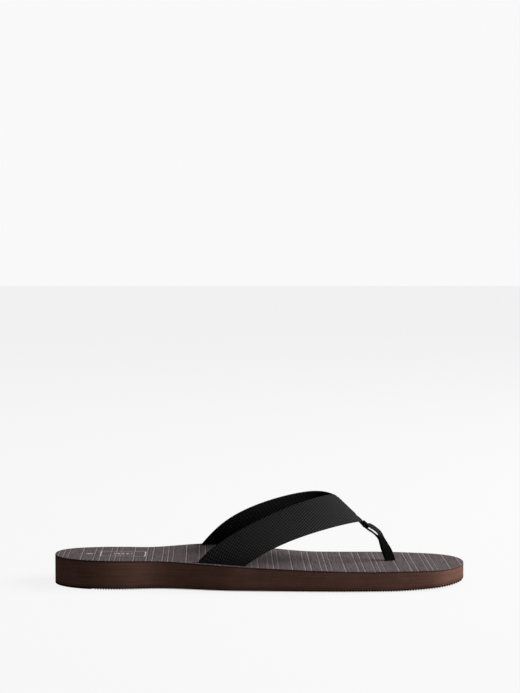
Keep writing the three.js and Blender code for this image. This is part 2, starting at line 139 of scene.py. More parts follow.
def make_camera():
    data = bpy.data.cameras.new("camera")
    data.lens = CAMERA_LENS
    data.sensor_width = SENSOR_WIDTH
    camera = bpy.data.objects.new("camera", data)
    camera.location = CAMERA_PLACE
    camera.rotation_euler = (math.radians(CAMERA_PITCH), 0, math.radians(CAMERA_YAW))
    bpy.context.collection.objects.link(camera)
    bpy.context.scene.camera = camera


def area_light(name, place, target, size, power):
    data = bpy.data.lights.new(name, "AREA")
    data.shape = "RECTANGLE"
    data.size, data.size_y = size
    data.energy = power
    light = bpy.data.objects.new(name, data)
    light.location = place
    aim = Vector(target) - Vector(place)
    light.rotation_euler = aim.to_track_quat("-Z", "Y").to_euler()
    bpy.context.collection.objects.link(light)


WORLD_STRENGTH = 0.30
KEY_PLACE = (2.1, 0.10, 1.2)
KEY_TARGET = (0.05, 0, 0)
KEY_SIZE = (2.8, 1.5)
KEY_POWER = 500
TOP_PLACE = (-0.35, 0.45, 1.5)
TOP_TARGET = (0, 0, 0)
TOP_SIZE = (1.2, 1.2)
TOP_POWER = 11
FLOOR_DROP = 0.2 * MM
FLOOR_FRONT = -4.0
FLOOR_BACK = 8.0
STAGE_REACH = 12.0
FLOOR_GLOW = 0.862
FLOOR_ALBEDO = 0.02
BACKDROP_GLOW = 0.947


def make_studio():
    world = bpy.data.worlds.new("studio")
    bpy.context.scene.world = world
    world.use_nodes = True
    background = world.node_tree.nodes["Background"]
    background.inputs["Color"].default_value = (1, 1, 1, 1)
    background.inputs["Strength"].default_value = WORLD_STRENGTH
    area_light("key", KEY_PLACE, KEY_TARGET, KEY_SIZE, KEY_POWER)
    area_light("top", TOP_PLACE, TOP_TARGET, TOP_SIZE, TOP_POWER)
    bpy.context.scene.view_settings.view_transform = "Standard"


def glow_material(name, glow, albedo):
    material = bpy.data.materials.new(name)
    material.use_nodes = True
    shader = material.node_tree.nodes["Principled BSDF"]
    shader.inputs["Base Color"].default_value = (albedo, albedo, albedo, 1)
    shader.inputs["Roughness"].default_value = 1.0
    shader.inputs["Specular IOR Level"].default_value = 0.0
    shader.inputs["Emission Color"].default_value = (1, 1, 1, 1)
    shader.inputs["Emission Strength"].default_value = glow
    return material


def stage_plane(name, corners, material):
    mesh = bpy.data.meshes.new(name)
    mesh.from_pydata(corners, [], [(0, 1, 2, 3)])
    mesh.materials.append(material)
    plane = bpy.data.objects.new(name, mesh)
    bpy.context.collection.objects.link(plane)


def make_stage():
    """A pale floor just below the lowest ribs, and an upright backdrop behind it."""
    reach, front, back, base = STAGE_REACH, FLOOR_FRONT, FLOOR_BACK, -FLOOR_DROP
    floor = [(-reach, front, base), (reach, front, base), (reach, back, base), (-reach, back, base)]
    wall = [(-reach, back, base), (reach, back, base), (reach, back, reach), (-reach, back, reach)]
    stage_plane("floor", floor, glow_material("floor", FLOOR_GLOW, FLOOR_ALBEDO))
    stage_plane("backdrop", wall, glow_material("backdrop", BACKDROP_GLOW, 0.0))


# --- node materials ---

NOISE_LOW = 0.3
NOISE_HIGH = 0.7


class Nodes:
    """Short forms for building a material's nodes."""

    def __init__(self, name):
        self.material = bpy.data.materials.new(name)
        self.material.use_nodes = True
        self.tree = self.material.node_tree
        self.shader = self.tree.nodes["Principled BSDF"]

    def link(self, value, socket):
        if isinstance(value, bpy.types.NodeSocket):
            self.tree.links.new(value, socket)
        else:
            socket.default_value = value

    def node(self, kind, **settings):
        node = self.tree.nodes.new(kind)
        for key, value in settings.items():
            setattr(node, key, value)
        return node

    def math(self, operation, a, b=0.0, c=0.0):
        node = self.node("ShaderNodeMath", operation=operation)
        for socket, value in zip(node.inputs, (a, b, c)):
            self.link(value, socket)
        return node.outputs[0]

    def times(self, a, b):
        return self.math("MULTIPLY", a, b)

    def plus(self, a, b):
        return self.math("ADD", a, b)

    def distance(self, a, b):
        return self.math("ABSOLUTE", self.math("SUBTRACT", a, b))

    def axes(self, source="Object"):
        coordinate = self.node("ShaderNodeTexCoord")
        split = self.node("ShaderNodeSeparateXYZ")
        self.tree.links.new(coordinate.outputs[source], split.inputs[0])
        return split.outputs

    def point(self, x, y, z):
        join = self.node("ShaderNodeCombineXYZ")
        for socket, value in zip(join.inputs, (x, y, z)):
            self.link(value, socket)
        return join.outputs[0]

    def noise(self, vector, scale, detail=2.0, roughness=0.5):
        node = self.node("ShaderNodeTexNoise")
        self.link(vector, node.inputs["Vector"])
        self.link(scale, node.inputs["Scale"])
        self.link(detail, node.inputs["Detail"])
        self.link(roughness, node.inputs["Roughness"])
        return node.outputs["Fac"]

    def ramp(self, value, low, high, to_low=0.0, to_high=1.0):
        node = self.node("ShaderNodeMapRange", interpolation_type="SMOOTHSTEP")
        for socket, number in zip(node.inputs, (value, low, high, to_low, to_high)):
            self.link(number, socket)
        return node.outputs[0]

    def varied(self, noise, low, high):
        """Between two values, by how far the noise is through its middle range."""
        return self.ramp(noise, NOISE_LOW, NOISE_HIGH, low, high)

    def blend(self, share, a, b, kind="MIX"):
        node = self.node("ShaderNodeMix", data_type="RGBA", blend_type=kind)
        self.link(share, node.inputs[0])
        self.link(a, node.inputs[6])
        self.link(b, node.inputs[7])
        return node.outputs[2]

    def bump(self, height, distance, strength=1.0):
        node = self.node("ShaderNodeBump")
        node.inputs["Strength"].default_value = strength
        node.inputs["Distance"].default_value = distance
        self.link(height, node.inputs["Height"])
        self.tree.links.new(node.outputs["Normal"], self.shader.inputs["Normal"])

    def shaded(self, tint, shade):
        return self.blend(1.0, tint, self.point(shade, shade, shade), "MULTIPLY")

    def finish(self, colour, roughness, specular):
        self.link(colour, self.shader.inputs["Base Color"])
        self.shader.inputs["Roughness"].default_value = roughness
        self.shader.inputs["Specular IOR Level"].default_value = specular
        return self.material


FOOTBED_COLOUR = (0.0228, 0.0172, 0.0176, 1)
STRIPE_COLOUR = (0.092, 0.077, 0.074, 1)
PRINT_COLOUR = (0.12, 0.103, 0.10, 1)
HAIRLINE_COLOUR = (0.003, 0.002, 0.002, 1)
STRIPE_REPEAT = 36.87 * MM
STRIPE_FIRST = HEEL_X + 19.3 * MM
STRIPES = ((0, 1.0), (9, 0.9), (13.3, 0.95), (20.3, 0.75), (24, 0.9), (27.5, 0.55))
STRIPE_WIDTH = 0.42 * MM
HAIRLINE_OFFSET = 0.9 * MM
HAIRLINE_STRENGTH = 0.65
LINE_CORE = 0.35
LINE_FADE = 0.65
STREAK_STRETCH = 34.0
THREAD_STRETCH = 22.0
LABEL_X = HEEL_X + 48.2 * MM
LABEL_HALF_LENGTH = 15.7 * MM
LABEL_HALF_WIDTH = 12 * MM
LABEL_BAR = 0.5 * MM
LABEL_RAIL = 0.9 * MM
LABEL_RAIL_STRENGTH = 0.35
MARK_STRENGTH = 0.6
DIAMOND_ROW = 6.4 * MM
DIAMOND_HALF_PITCH = 1.6 * MM
DIAMOND_SLANT = 3.4
DIAMOND_REACH = 4.6 * MM
DOT_X = LABEL_X - LABEL_HALF_LENGTH - 8 * MM
DOT_RADIUS = 2.7 * MM

# Wear of the lines and of the label: a range of noise, and the strength at its ends.
STRIPE_WEAR = (0.3, 0.62, 0.45, 1.0)
LABEL_WEAR = (0.3, 0.6, 0.85, 1.0)


def repeating_line(nodes, x, place, strength):
    """Thin lines across the footbed, one at the place and one at each repeat from it."""
    half = STRIPE_REPEAT / 2
    offset = nodes.math("WRAP", nodes.math("SUBTRACT", x, place), half, -half)
    distance = nodes.math("ABSOLUTE", offset)
    return nodes.ramp(distance, STRIPE_WIDTH * LINE_CORE, STRIPE_WIDTH * LINE_FADE, strength, 0.0)


def label_frame(nodes, along, across):
    """Thick bars at the two ends and faint rails along the two sides."""
    bar = nodes.math("LESS_THAN", nodes.distance(along, LABEL_HALF_LENGTH), LABEL_BAR)
    bars = nodes.times(bar, nodes.math("LESS_THAN", across, LABEL_HALF_WIDTH))
    rail = nodes.math("LESS_THAN", nodes.distance(across, LABEL_HALF_WIDTH), LABEL_RAIL)
    rails = nodes.times(rail, nodes.math("LESS_THAN", along, LABEL_HALF_LENGTH))
    return nodes.math("MAXIMUM", bars, nodes.times(rails, LABEL_RAIL_STRENGTH))


def label_diamonds(nodes, x, along, across):
    half = DIAMOND_HALF_PITCH
    step = nodes.math("ABSOLUTE", nodes.math("WRAP", nodes.math("SUBTRACT", x, LABEL_X), half, -half))
    diamond = nodes.math("LESS_THAN", nodes.plus(nodes.times(step, DIAMOND_SLANT), across), DIAMOND_REACH)
    row = nodes.math("LESS_THAN", along, DIAMOND_ROW)
    return nodes.times(nodes.times(diamond, row), MARK_STRENGTH)


def label_dot(nodes, x, y):
    run = nodes.math("SUBTRACT", x, DOT_X)
    squares = nodes.plus(nodes.math("POWER", run, 2.0), nodes.math("POWER", y, 2.0))
    inside = nodes.math("LESS_THAN", nodes.math("SQRT", squares), DOT_RADIUS)
    return nodes.times(inside, MARK_STRENGTH)


def frame_print(nodes, x, y):
    """A plain label: a thin frame with thick ends round a row of diamonds, and a dot behind it."""
    along = nodes.distance(x, LABEL_X)
    across = nodes.math("ABSOLUTE", y)
    marks = nodes.math("MAXIMUM", label_frame(nodes, along, across), label_diamonds(nodes, x, along, across))
    return nodes.math("MAXIMUM", marks, label_dot(nodes, x, y))


def stripes(nodes, x):
    """The pale lines of the footbed and the dark hairline beside each."""
    pale, dark = 0.0, 0.0
    for offset, strength in STRIPES:
        place = STRIPE_FIRST + offset * MM
        pale = nodes.math("MAXIMUM", pale, repeating_line(nodes, x, place, strength))
        dark = nodes.math("MAXIMUM", dark, repeating_line(nodes, x, place + HAIRLINE_OFFSET, strength))
    return pale, dark


def footbed_material():
    """A printed sheet: streaks across the sole, faint threads along it, stripes and the label."""
    nodes = Nodes("footbed_print")
    x, y, z = nodes.axes()
    across_sole = nodes.point(nodes.times(x, STREAK_STRETCH), y, z)
    streaks = nodes.noise(across_sole, scale=42.0, detail=3.0, roughness=0.6)
    along_sole = nodes.point(x, nodes.times(y, THREAD_STRETCH), z)
    threads = nodes.noise(along_sole, scale=60.0, detail=2.0, roughness=0.5)
    cloudy = nodes.noise(nodes.point(x, y, z), scale=40.0, detail=2.0, roughness=0.5)
    streaked = nodes.varied(streaks, 0.62, 1.30)
    shade = nodes.plus(streaked, nodes.varied(threads, -0.05, 0.05))
    shade = nodes.times(shade, nodes.varied(cloudy, 0.96, 1.04))
    ground = nodes.shaded(FOOTBED_COLOUR, shade)
    pale, dark = stripes(nodes, x)
    worn = nodes.noise(nodes.point(x, y, z), scale=260.0, detail=3.0, roughness=0.7)
    pale = nodes.times(pale, nodes.ramp(worn, *STRIPE_WEAR))
    colour = nodes.blend(nodes.times(dark, HAIRLINE_STRENGTH), ground, HAIRLINE_COLOUR)
    colour = nodes.blend(pale, colour, STRIPE_COLOUR)
    label = nodes.times(frame_print(nodes, x, y), nodes.ramp(worn, *LABEL_WEAR))
    colour = nodes.blend(label, colour, PRINT_COLOUR)
    grain = nodes.noise(nodes.point(x, y, z), scale=1800.0, detail=2.0, roughness=0.6)
    nodes.bump(nodes.plus(streaks, nodes.times(grain, 0.4)), distance=0.12 * MM, strength=0.5)
    return nodes.finish(colour, roughness=0.8, specular=0.03)


FOAM_COLOUR = (0.0345, 0.0173, 0.0129, 1)
RUBBER_COLOUR = (0.0255, 0.0127, 0.0094, 1)
# The footbed sheet's side: partly the sheet's own dark edge, partly painted shade for the dark line under the
# footbed's rim.
EDGE_AND_SHADE_COLOUR = (0.017, 0.0098, 0.008, 1)
SPECK_COLOUR = (0.07, 0.042, 0.034, 1)
FOAM_STRETCH = 30.0

# Ranges of noise and of height, and the value at the ends of each.
SPECKS = (0.74, 0.80, 0.0, 0.35)
# Painted shade at the bottom edge of the sole: the heights over which the wall darkens, and the shade at each
# end.
PAINTED_GROUND_SHADE = (0.8 * MM, 1.9 * MM, 0.1, 1.0)


def painted_ground_shade(nodes, x, z):
    """Painted shade: darker at the very bottom edge of the sole, following the toe spring, for the shadow of
    the ribs and the floor there.
    """
    start = HEEL_X + LENGTH * TOE_SPRING_START
    run = nodes.math("DIVIDE", nodes.math("SUBTRACT", x, start), LENGTH * (1 - TOE_SPRING_START))
    rise = nodes.math("POWER", nodes.math("MAXIMUM", run, 0.0), TOE_SPRING_POWER)
    return nodes.ramp(nodes.math("SUBTRACT", z, nodes.times(rise, TOE_SPRING)), *PAINTED_GROUND_SHADE)


def foam_material(name, tint):
    """Matt foam: faint streaks along the wall, a few pale specks, and painted shade at the bottom edge."""
    nodes = Nodes(name)
    x, y, z = nodes.axes()
    along_wall = nodes.point(x, y, nodes.times(z, FOAM_STRETCH))
    streaks = nodes.noise(along_wall, scale=36.0, detail=3.0, roughness=0.6)
    cloudy = nodes.noise(nodes.point(x, y, z), scale=90.0, detail=3.0, roughness=0.6)
    streaked = nodes.varied(streaks, 0.88, 1.12)
    shade = nodes.times(streaked, nodes.varied(cloudy, 0.92, 1.08))
    # Painted shade: the wall darkens towards its bottom edge, for the shadow of the ribs and the floor.
    shade = nodes.times(shade, painted_ground_shade(nodes, x, z))
    colour = nodes.shaded(tint, shade)
    specks = nodes.noise(nodes.point(x, y, z), scale=900.0, detail=1.0, roughness=0.5)
    colour = nodes.blend(nodes.ramp(specks, *SPECKS), colour, SPECK_COLOUR)
    grain = nodes.noise(nodes.point(x, y, z), scale=2600.0, detail=2.0, roughness=0.6)
    nodes.bump(nodes.plus(nodes.times(streaks, 0.6), grain), distance=0.10 * MM, strength=0.6)
    return nodes.finish(colour, roughness=0.8, specular=0.0)


# The weave is pressed flatter along the strip, from the first length to the second.
WEAVE_FADE = (95 * MM, 135 * MM, 1.0, 0.4)
FLOAT_LENGTH = 1.4
RIB_SHARE = 0.7
RELIEF_RANGE = 0.75
WEBBING_COLOUR = (0.0056, 0.0056, 0.0058, 1)
TAPE_COLOUR = (0.0042, 0.0042, 0.0044, 1)
THREAD_COLOUR = (0.005, 0.005, 0.0052, 1)
PLASTIC_COLOUR = (0.02, 0.02, 0.02, 1)


def webbing_material(name, tint, pitch, lean, contrast, painted_shade=None):
    """Twill from the strip's own length and width: diagonal ribs, broken into single floats.

    A strip given a range of heights here is darker towards the lower one: painted shade, for the shadow on
    the lower part of the tape's post.
    """
    nodes = Nodes(name)
    u, v, _ = nodes.axes("UV")
    cosine, sine = math.cos(lean), math.sin(lean)
    rise = nodes.math("SUBTRACT", nodes.times(v, cosine), nodes.times(u, sine))
    run = nodes.plus(nodes.times(u, cosine), nodes.times(v, sine))
    rib = nodes.math("SINE", nodes.times(rise, 2 * math.pi / pitch))
    floats = nodes.math("SINE", nodes.times(run, 2 * math.pi / (pitch * FLOAT_LENGTH)))
    relief = nodes.plus(nodes.times(rib, RIB_SHARE), nodes.times(floats, 1 - RIB_SHARE))
    fuzz = nodes.noise(nodes.point(u, v, 0.0), scale=1500.0, detail=2.0, roughness=0.6)
    relief = nodes.times(relief, nodes.ramp(u, *WEAVE_FADE))
    weave = nodes.ramp(relief, -RELIEF_RANGE, RELIEF_RANGE, 1 - contrast, 1 + contrast)
    shade = nodes.times(weave, nodes.varied(fuzz, 0.75, 1.25))
    # Painted shade: darker towards the lower heights, for the shadow on the tape's post.
    if painted_shade:
        shade = nodes.times(shade, nodes.ramp(nodes.axes()[2], *painted_shade))
    colour = nodes.shaded(tint, shade)
    nodes.bump(nodes.plus(relief, nodes.times(fuzz, 0.5)), distance=0.10 * MM, strength=0.8)
    return nodes.finish(colour, roughness=0.95, specular=0.0)


def plain_material(name, tint, roughness, grain_scale):
    """One colour with a fine grain, for the threads and the bar."""
    nodes = Nodes(name)
    x, y, z = nodes.axes()
    grain = nodes.noise(nodes.point(x, y, z), scale=grain_scale, detail=2.0, roughness=0.6)
    shade = nodes.varied(grain, 0.8, 1.2)
    colour = nodes.shaded(tint, shade)
    nodes.bump(grain, distance=0.05 * MM, strength=0.5)
    return nodes.finish(colour, roughness=roughness, specular=0.35)


# --- meshes ---

def make_piece(name, mesh, materials, replaced):
    for material in materials:
        mesh.materials.append(material)
    piece = bpy.data.objects.new(name, mesh)
    bpy.context.collection.objects.link(piece)
    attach(piece, "root")
    if replaced:
        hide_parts(*replaced)
    return piece


def ring_mesh(name, rings, caps=False, uvs=None):
    """A mesh of quads between closed rings of equally many points, with n-gon caps where asked."""
    count = len(rings[0])
    points = [tuple(p) for ring in rings for p in ring]
    faces = []
    for base in range(0, (len(rings) - 1) * count, count):
        for i in range(count):
            j = (i + 1) % count
            faces.append((base + i, base + j, base + count + j, base + count + i))
    if caps:
        last = (len(rings) - 1) * count
        faces.append(tuple(reversed(range(count))))
        faces.append(tuple(last + i for i in range(count)))
    mesh = bpy.data.meshes.new(name)
    mesh.from_pydata(points, [], faces)
    if uvs:
        layer = mesh.uv_layers.new(name="UVMap")
        for loop in mesh.loops:
            layer.data[loop.index].uv = uvs[loop.vertex_index]
    return mesh


def tidy_mesh(mesh, merge=1e-7):
    bm = bmesh.new()
    bm.from_mesh(mesh)
    bmesh.ops.remove_doubles(bm, verts=bm.verts, dist=merge)
    bmesh.ops.dissolve_degenerate(bm, edges=bm.edges, dist=merge)
    bmesh.ops.recalc_face_normals(bm, faces=bm.faces)
    bm.to_mesh(mesh)
    bm.free()


def shade_smooth(mesh, angle=40):
    mesh.shade_smooth()
    mesh.set_sharp_from_angle(angle=math.radians(angle))


def cut(piece, cutters):
    """Cuts other meshes out of a piece and leaves no modifier behind."""
    for cutter in cutters:
        modifier = piece.modifiers.new("cut", "BOOLEAN")
        modifier.operation = "DIFFERENCE"
        modifier.solver = "EXACT"
        modifier.object = cutter
    graph = bpy.context.evaluated_depsgraph_get()
    mesh = bpy.data.meshes.new_from_object(piece.evaluated_get(graph))
    piece.modifiers.clear()
    piece.data = mesh


# --- sole ---

def bezier(a, b, c, d, steps):
    points = []
    for i in range(steps):
        t = i / steps
        s = 1 - t
        x = s**3 * a[0] + 3 * s * s * t * b[0] + 3 * s * t * t * c[0] + t**3 * d[0]
        y = s**3 * a[1] + 3 * s * s * t * b[1] + 3 * s * t * t * c[1] + t**3 * d[1]
        points.append(Vector((HEEL_X + x, y)))
    return points


def sole_outline():
    """The outline from above, from the back of the heel along the lateral side and back along the medial."""
    heel = LENGTH * HEEL_STATION
    waist = LENGTH * WAIST_STATION
    ball = LENGTH * BALL_STATION
    arch = mix(waist, ball, ARCH_OUTLINE_SHARE)
    wide, narrow, rear = BALL_HALF, WAIST_HALF, HEEL_HALF
    start = (0, OUTLINE_HEEL_Y)
    toe = (LENGTH, OUTLINE_TOE_Y)

    def beyond(share):
        return mix(ball, LENGTH, share)

    curves = [
        ((0, -rear * 0.6), (heel * 0.43, -rear), (heel, -rear)),
        ((heel * 1.2, -rear), (waist * 0.875, -narrow), (waist, -narrow)),
        ((waist * 1.28, -narrow), (arch * 0.86, -wide * 0.878), (arch, -wide * 0.905)),
        ((arch * 1.17, -wide * 0.938), (ball * 0.887, -wide), (ball, -wide)),
        ((beyond(0.25), -wide), (beyond(0.54), -wide * 0.961), (beyond(0.707), -wide * 0.866)),
        ((beyond(0.873), -wide * 0.757), (LENGTH, -wide * 0.388), toe),
        ((LENGTH, wide * 0.505), (beyond(0.885), wide * 0.738), (beyond(0.707), wide * 0.841)),
        ((beyond(0.586), wide * 0.911), (beyond(0.425), wide), (beyond(0.264), wide)),
        ((ball * 1.01, wide), (ball * 0.813, wide * 0.858), (ball * 0.69, wide * 0.788)),
        ((ball * 0.567, wide * 0.72), (waist * 1.25, narrow * 1.065), (waist * 0.833, narrow * 1.065)),
        ((waist * 0.194, rear * 1.027), (0, rear * 0.784), start),
    ]
    points = []
    knot = start
    for leaving, arriving, end in curves:
        points += bezier(knot, leaving, arriving, end, OUTLINE_STEPS)
        knot = end
    return points


OUTLINE = sole_outline()


def outline_normals():
    normals = []
    count = len(OUTLINE)
    for i in range(count):
        travel = OUTLINE[(i + 1) % count] - OUTLINE[i - 1]
        normals.append(Vector((travel.y, -travel.x)).normalized())
    return normals


NORMALS = outline_normals()


def edge_y(side, x):
    hits = []
    for i, b in enumerate(OUTLINE):
        a = OUTLINE[i - 1]
        if (a.x - x) * (b.x - x) <= 0 and a.x != b.x:
            hits.append(a.y + (x - a.x) / (b.x - a.x) * (b.y - a.y))
    return min(hits) if side < 0 else max(hits)


def ground_z(x):
    start = HEEL_X + LENGTH * TOE_SPRING_START
    share = max(0.0, (x - start) / (LENGTH * (1 - TOE_SPRING_START)))
    return TOE_SPRING * share**TOE_SPRING_POWER


def top_z(x, y):
    station = (x - HEEL_X) / LENGTH
    wedge = passed(station, (WEDGE_START, WEDGE_END))
    arch = passed(station, (ARCH_START, ARCH_PEAK)) * (1 - passed(station, (ARCH_PEAK, ARCH_END)))
    inward = passed(y, (ARCH_INNER_Y, HEEL_HALF))
    return mix(HEEL_HEIGHT, FOREFOOT_HEIGHT, wedge) + ARCH_RISE * arch * inward


SPINE_FROM_HEEL = 40 * MM
SPINE_FROM_TOE = 52 * MM
SPINE_Y = 1.5 * MM
SPINE_CROWDING = 0.85


def spine(point):
    """The nearest place on the straight middle line that the faces of a layer close on."""
    low = HEEL_X + SPINE_FROM_HEEL
    high = HEEL_X + LENGTH - SPINE_FROM_TOE
    return Vector((min(max(point.x, low), high), SPINE_Y))


def inset_ring(inset, height):
    ring = []
    for point, normal in zip(OUTLINE, NORMALS):
        p = point - normal * inset
        ring.append(Vector((p.x, p.y, height(p.x, p.y))))
    return ring


def cap_rings(inset, height, steps):
    """Rings from the edge to the middle of the sole, the last one on its spine."""
    rings = []
    for k in range(1, steps + 1):
        share = (k / steps) ** SPINE_CROWDING
        ring = []
        for point, normal in zip(OUTLINE, NORMALS):
            p = (point - normal * inset).lerp(spine(point), share)
            ring.append(Vector((p.x, p.y, height(p.x, p.y))))
        rings.append(ring)
    return rings


EDGE_STEPS = 4
WALL_SHARES = (0.25, 0.5, 0.75)
UNDER_STEPS = 6
OVER_STEPS = 16
FOOTBED_STEPS = 22


def sole_layer(name, low, high, rounds, over_steps=OVER_STEPS):
    """A layer between two heights, its lower and upper edges rounded by the two small radii."""
    low_round, high_round = rounds
    lower = []
    upper = []
    for i in range(EDGE_STEPS + 1):
        angle = math.pi / 2 * i / EDGE_STEPS
        out = 1 - math.sin(angle)
        lift = 1 - math.cos(angle)
        lower.append(inset_ring(low_round * out, lambda x, y, k=low_round * lift: low(x, y) + k))
        upper.append(inset_ring(high_round * lift, lambda x, y, k=high_round * out: high(x, y) - k))

    def wall_z(x, y, share):
        return mix(low(x, y) + low_round, high(x, y) - high_round, share)

    middle = [inset_ring(0, lambda x, y, s=share: wall_z(x, y, s)) for share in WALL_SHARES]
    under = cap_rings(low_round, low, UNDER_STEPS)
    over = cap_rings(high_round, high, over_steps)
    mesh = ring_mesh(name, list(reversed(under)) + lower + middle + upper + over)
    tidy_mesh(mesh, 1e-6)
    return mesh


def outsole_top(x, y=0.0):
    return ground_z(x) + OUTSOLE_THICKNESS


def add_rib(points, faces, x):
    """One cross rib under the sole, a little narrower below, its ends just inside the side wall."""
    base = len(points)
    for top in (True, False):
        reach = RIB_WIDTH / 2 * (1 if top else RIB_TAPER)
        for dx in (-reach, reach):
            edge_x = min(x + dx, HEEL_X + LENGTH - OUTLINE_END)
            z = ground_z(x + dx) + (RIB_HEIGHT * RIB_ROOT if top else 0.0)
            for side in (-1, 1):
                points.append((x + dx, edge_y(side, edge_x) - side * RIB_INSET, z))
    for face in ((0, 1, 3, 2), (4, 6, 7, 5), (0, 4, 5, 1), (2, 3, 7, 6), (0, 2, 6, 4), (1, 5, 7, 3)):
        faces.append(tuple(base + i for i in face))


def make_ribs(material):
    points, faces = [], []
    x = HEEL_X + SMOOTH_HEEL
    while x < HEEL_X + LENGTH - LAST_RIB_TO_TOE:
        add_rib(points, faces, x)
        x += RIB_PITCH
    mesh = bpy.data.meshes.new("outsole_ribs")
    mesh.from_pydata(points, [], faces)
    tidy_mesh(mesh)
    make_piece("outsole_ribs", mesh, [material], [])


def outsole_bottom(x, y):
    """The smooth heel stands on the ground; further on the plate is raised by the height of the ribs."""
    ribbed = ease((x - HEEL_X - SMOOTH_HEEL + RIBBED_FROM) / RIBBED_WITHIN)
    return ground_z(x) + RIB_HEIGHT * ribbed


def midsole_bottom(x, y):
    return outsole_top(x) + LAYER_GAP


def midsole_top(x, y):
    return top_z(x, y) - FOOTBED_THICKNESS


def footbed_bottom(x, y):
    return midsole_top(x, y) + LAYER_GAP


# Radii of the lower and the upper edge of each layer.
PLATE_ROUNDS = (0.25 * MM, 0.05 * MM)
MIDSOLE_ROUNDS = (0.05 * MM, 0.12 * MM)
FOOTBED_ROUNDS = (0.1 * MM, 0.35 * MM)
PRINTED_FACE = 0.55


def make_sole(cutters):
    """Outsole with its ribs, midsole and footbed, the last two with their slots cut."""
    foam = foam_material("midsole_foam", FOAM_COLOUR)
    rubber = foam_material("outsole_rubber", RUBBER_COLOUR)
    edge = foam_material("footbed_edge_and_shade", EDGE_AND_SHADE_COLOUR)
    plate = sole_layer("outsole_plate", outsole_bottom, outsole_top, PLATE_ROUNDS, UNDER_STEPS)
    shade_smooth(plate)
    make_piece("outsole_plate", plate, [rubber], ["outsole"])
    make_ribs(rubber)
    midsole = sole_layer("midsole_foam", midsole_bottom, midsole_top, MIDSOLE_ROUNDS)
    midsole = make_piece("midsole_foam", midsole, [foam], ["midsole"])
    footbed = sole_layer("footbed_sheet", footbed_bottom, top_z, FOOTBED_ROUNDS, FOOTBED_STEPS)
    footbed = make_piece("footbed_sheet", footbed, [footbed_material(), edge], ["footbed"])
    for piece in (midsole, footbed):
        cut(piece, cutters)
        shade_smooth(piece.data)
    # Side faces of the footbed take the darker edge colour, which is partly painted shade.
    for face in footbed.data.polygons:
        face.material_index = 0 if face.normal.z > PRINTED_FACE else 1


# --- bands ---

def across_unit(direction, tangent):
    return (direction - tangent * direction.dot(tangent)).normalized()


def slanted_half(direction, tangent, width):
    cosine = direction.dot(tangent)
    return direction * (width / 2 / math.sqrt(1 - cosine * cosine))


def slot_line(side):
    """The middle of a strap's slot on the footbed, and its direction towards the heel."""
    reach = WEB_WIDTH * SLOT_REACH_SHARE
    x = LATERAL_SLOT_X if side < 0 else MEDIAL_SLOT_X
    front = edge_y(side, x + reach)
    rear = edge_y(side, x - reach)
    y = (front + rear) / 2 - side * SLOT_INSET
    fall = top_z(x - reach, y) - top_z(x + reach, y)
    heelward = Vector((-2 * reach, rear - front, fall)).normalized()
    return Vector((x, y, top_z(x, y))), heelward


ARCH_STEPS = 110
TAIL_GAP = 0.3 * MM
TAIL_REACHES = (13 * MM, 9 * MM, 5 * MM, 2 * MM)
TAIL_FOLD = 2 * MM
TAIL_FOLD_STEPS = 4
TAIL_FOLD_SQUASH = 0.9
TAIL_UPRIGHT_SHARES = (0.3, 0.5, 0.7, 0.85, 0.95)
FIRST_UPRIGHT = len(TAIL_REACHES) + TAIL_FOLD_STEPS - 1


class StrapCurve:
    """A cubic curve from the slot to the seam."""

    def __init__(self, strap):
        side = strap["side"]
        centre, _ = slot_line(side)
        leave = Vector((strap["forward"], -side * strap["lean"], 1)).normalized()
        fall = strap["turn"] * SEAM_SLOPE.z / SEAM_SLOPE.x
        arrive = Vector((strap["turn"], -side, fall)).normalized()
        self.knots = (centre, centre + leave * strap["start"], SEAM - arrive * strap["finish"], SEAM)

    def at(self, t):
        a, b, c, d = self.knots
        s = 1 - t
        return a * s**3 + b * (3 * s * s * t) + c * (3 * s * t * t) + d * t**3

    def tangent(self, t):
        a, b, c, d = self.knots
        s = 1 - t
        return ((b - a) * (3 * s * s) + (c - b) * (6 * s * t) + (d - c) * (3 * t * t)).normalized()


def arch_stations(strap):
    """Stations above the footbed: each cut lies along the slot at first and along the seam at last."""
    curve = StrapCurve(strap)
    _, heelward = slot_line(strap["side"])
    stations = []
    for i in range(ARCH_STEPS + 1):
        t = i / ARCH_STEPS
        tangent = curve.tangent(t)
        cut_line = heelward.lerp(SEAM_SLOPE, ease(t)).normalized()
        normal = cut_line.cross(tangent).normalized() * -strap["side"]
        stations.append((curve.at(t), slanted_half(cut_line, tangent, WEB_WIDTH), normal, tangent))
    return stations


